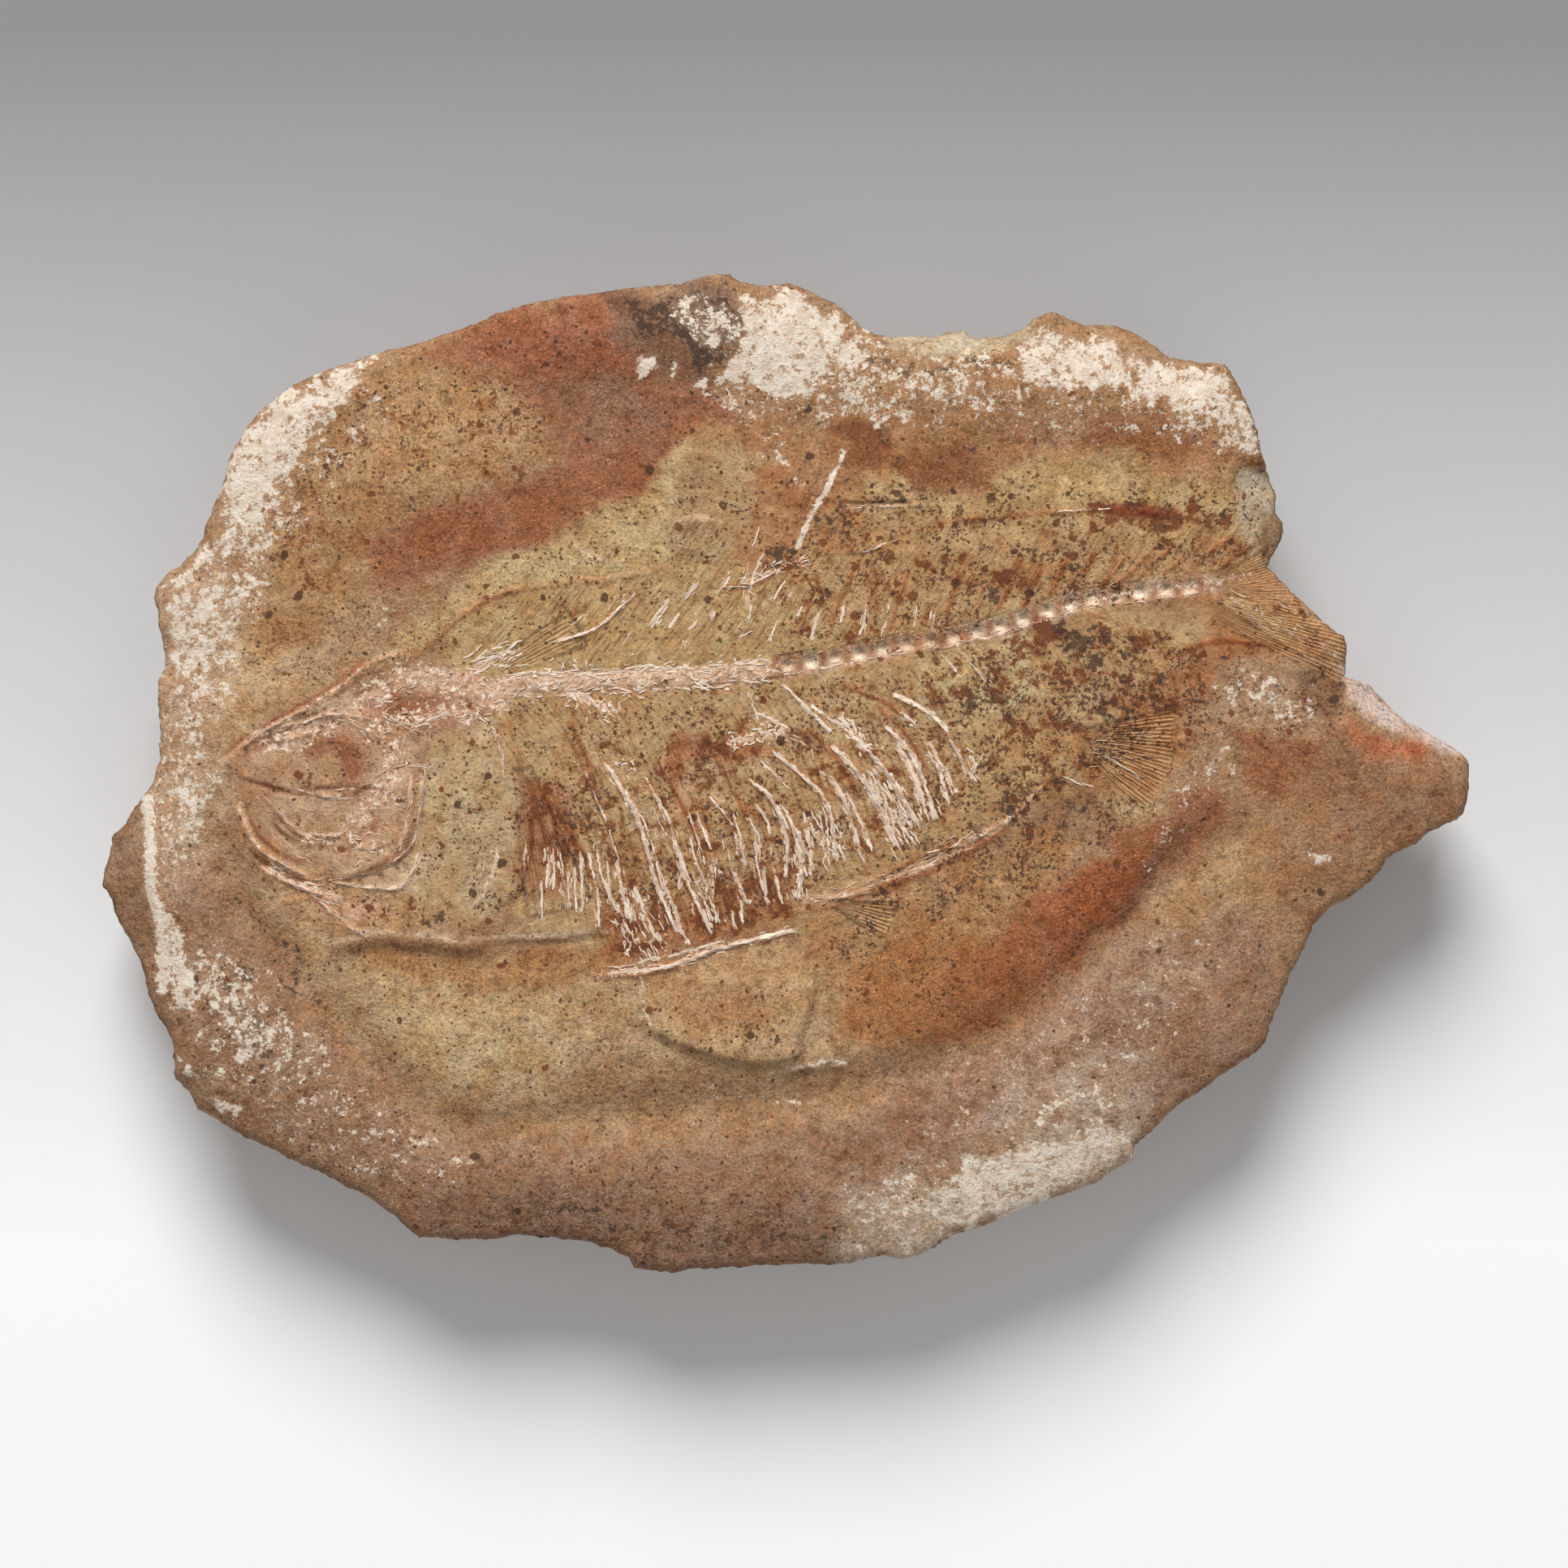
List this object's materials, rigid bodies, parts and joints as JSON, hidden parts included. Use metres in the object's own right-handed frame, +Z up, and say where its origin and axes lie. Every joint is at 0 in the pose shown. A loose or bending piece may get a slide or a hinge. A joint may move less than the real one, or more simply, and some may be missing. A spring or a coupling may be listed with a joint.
{
  "type": "fossil fish slab",
  "caption": "Flat half of a split stone nodule with a pressed bony fish on its face, lying on its broken back.",
  "frame": {"origin": "under the middle of the bounding box, on the surface that the slab lies on", "axes": "+X towards the fish's tail, +Y towards the fish's back, +Z up out of the fish face"},
  "size_m": [0.1694, 0.1236, 0.0227],
  "materials": {
    "stone": "matt weathered limestone, ochre and rust brown, with chalky white crust and dark specks"
  },
  "bodies": {
    "root": {"fossil_slab": "stone"}
  },
  "joints": []
}
